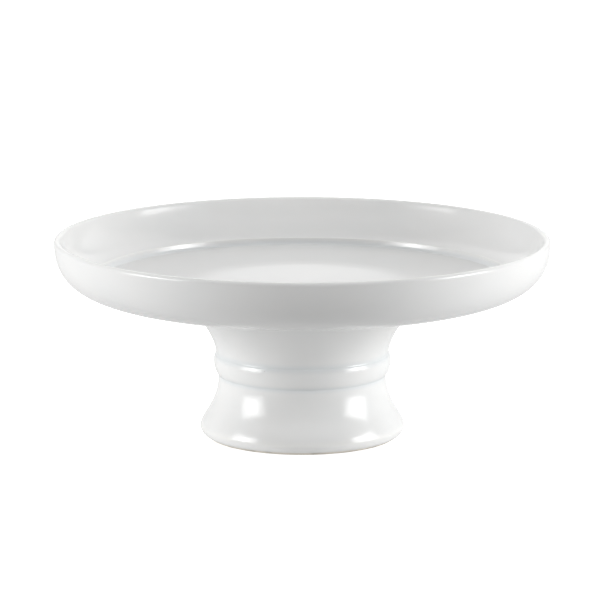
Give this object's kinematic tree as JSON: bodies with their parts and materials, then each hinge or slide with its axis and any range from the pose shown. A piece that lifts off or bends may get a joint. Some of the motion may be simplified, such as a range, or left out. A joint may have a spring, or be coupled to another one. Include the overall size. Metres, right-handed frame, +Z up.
{
  "type": "cake stand",
  "caption": "Footed cake stand in white glazed porcelain: a round dish with an upturned wall and a flat well, on a hollow spool pedestal with a ring bead and a rolled foot.",
  "frame": {"origin": "centre of the footprint, on the plane that the foot ring stands on", "axes": "+Z up along the axis of revolution; X and Y are any two level directions, because the stand is round"},
  "size_m": [0.305, 0.305, 0.1238],
  "materials": {
    "glazed_porcelain": "white glazed porcelain, high gloss",
    "fired_slip": "fired porcelain slip under the same clear white glaze"
  },
  "bodies": {
    "root": {"dish": "glazed_porcelain", "pedestal": "glazed_porcelain", "slip_joint": "fired_slip"}
  },
  "joints": []
}
